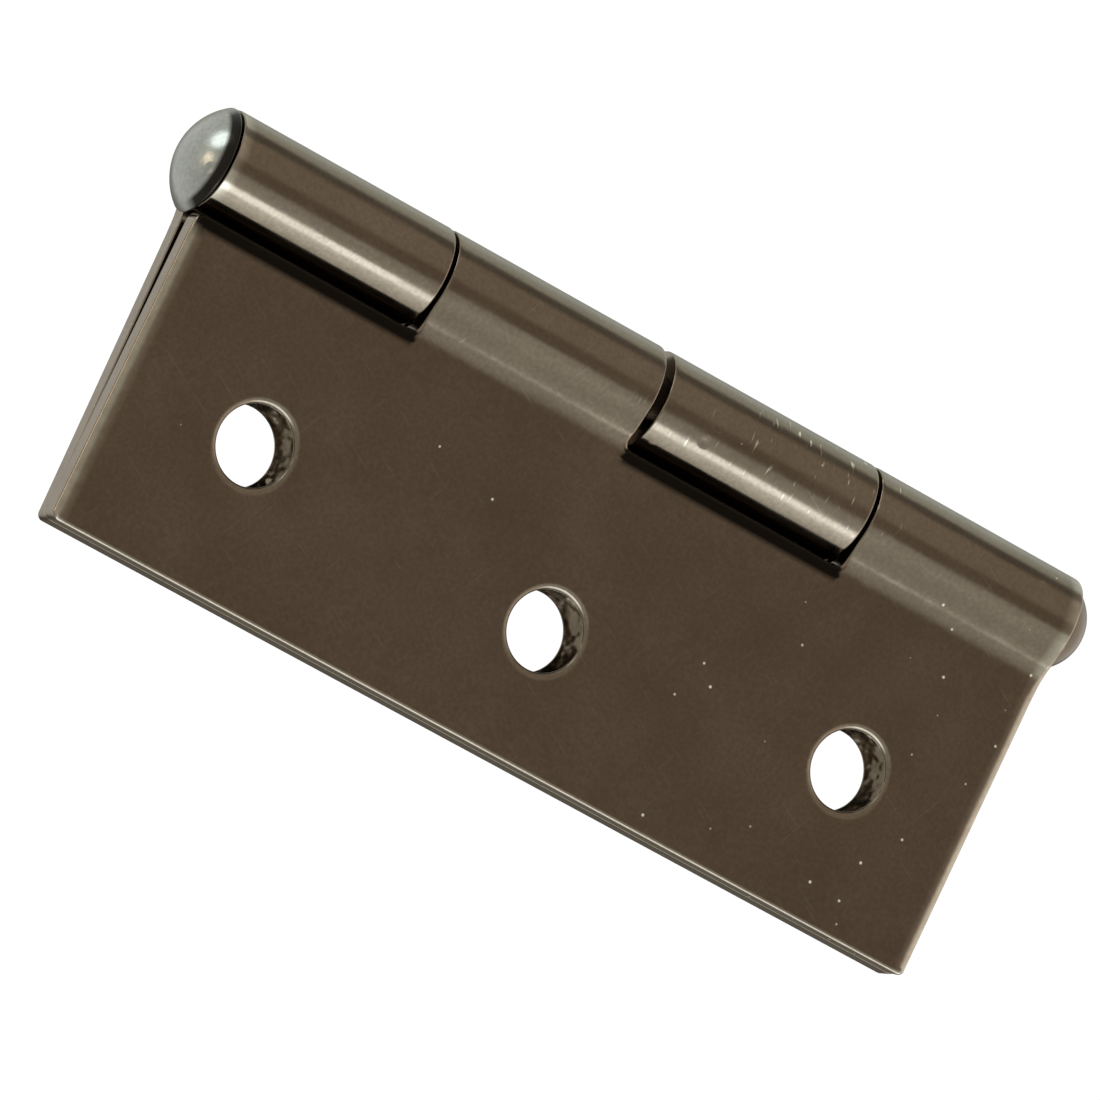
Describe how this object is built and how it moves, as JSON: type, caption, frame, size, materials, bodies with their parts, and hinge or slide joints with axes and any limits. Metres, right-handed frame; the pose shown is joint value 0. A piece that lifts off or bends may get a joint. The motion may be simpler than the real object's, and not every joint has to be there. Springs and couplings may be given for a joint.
{
  "type": "door hinge",
  "caption": "Narrow pressed-steel butt hinge: two like leaves with curled knuckles on a riveted pin with a domed head, and screw holes in a staggered row.",
  "frame": {"origin": "centre of the closed hinge's box: on the parting plane between the leaves, at mid length and mid width", "axes": "+Z along the pin towards its domed head, -Y out of the jamb leaf's seating face, +X from the free edges to the barrel"},
  "size_m": [0.0216, 0.0054, 0.0532],
  "materials": {
    "leaf_plating": "bright plated steel, warm grey, lightly scratched",
    "pin_plating": "bright plated steel, light grey"
  },
  "bodies": {
    "jamb_side": {"jamb_leaf": "leaf_plating", "pivot_pin": "pin_plating"},
    "door_side": {"door_leaf": "leaf_plating"}
  },
  "joints": [
    {"name": "leaf_swing", "type": "hinge", "parent": "jamb_side", "child": "door_side", "pos_m": [0.00815, 0, 0], "axis": [0, 0, -1], "range_deg": [0, 290]}
  ]
}
